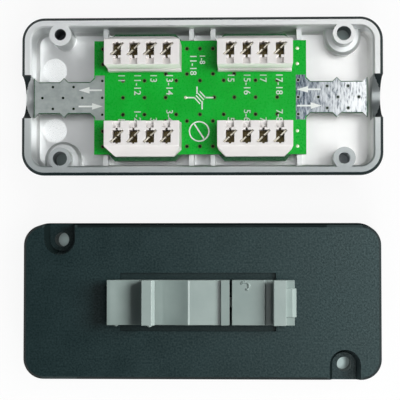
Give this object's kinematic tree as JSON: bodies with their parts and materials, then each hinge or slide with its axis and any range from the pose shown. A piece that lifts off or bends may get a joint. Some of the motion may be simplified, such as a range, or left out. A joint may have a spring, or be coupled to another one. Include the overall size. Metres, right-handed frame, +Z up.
{
  "type": "cable connection module",
  "caption": "Opened shielded cable connection module: tray with circuit board and slotted wire terminals, and a matching cover with a sprung rail clip on its back.",
  "frame": {"origin": "middle of the bounding box on the table the two halves lie on", "axes": "+X along the length of both halves, +Y from the cover half to the base half, +Z up"},
  "size_m": [0.098, 0.0988, 0.0218],
  "materials": {
    "black_plastic": "fine spark-eroded texture outside, bright metallised inside",
    "green_board": "solder mask, tinned tongues",
    "white_plastic": "satin moulded",
    "contact_bronze": "plated sheet",
    "grey_plastic": "satin moulded",
    "spring_steel": "bright strip"
  },
  "bodies": {
    "module": {"base_housing": "black_plastic", "cover_housing": "black_plastic", "circuit_board": "green_board", "terminal_block_1": "white_plastic", "terminal_block_2": "white_plastic", "terminal_block_3": "white_plastic", "terminal_block_4": "white_plastic", "wire_contact_01": "contact_bronze", "wire_contact_02": "contact_bronze", "wire_contact_03": "contact_bronze", "wire_contact_04": "contact_bronze", "wire_contact_05": "contact_bronze", "wire_contact_06": "contact_bronze", "wire_contact_07": "contact_bronze", "wire_contact_08": "contact_bronze", "wire_contact_09": "contact_bronze", "wire_contact_10": "contact_bronze", "wire_contact_11": "contact_bronze", "wire_contact_12": "contact_bronze", "wire_contact_13": "contact_bronze", "wire_contact_14": "contact_bronze", "wire_contact_15": "contact_bronze", "wire_contact_16": "contact_bronze", "rail_clip": "grey_plastic", "latch_spring": "spring_steel"},
    "latch": {"rail_latch": "grey_plastic"}
  },
  "joints": [
    {"name": "latch_slide", "type": "slide", "parent": "module", "child": "latch", "axis": [1, 0, 0], "range_m": [0, 0.0035], "stiffness_N_per_m": 1500, "springref_m": -0.002, "deforming": ["latch_spring"]}
  ]
}
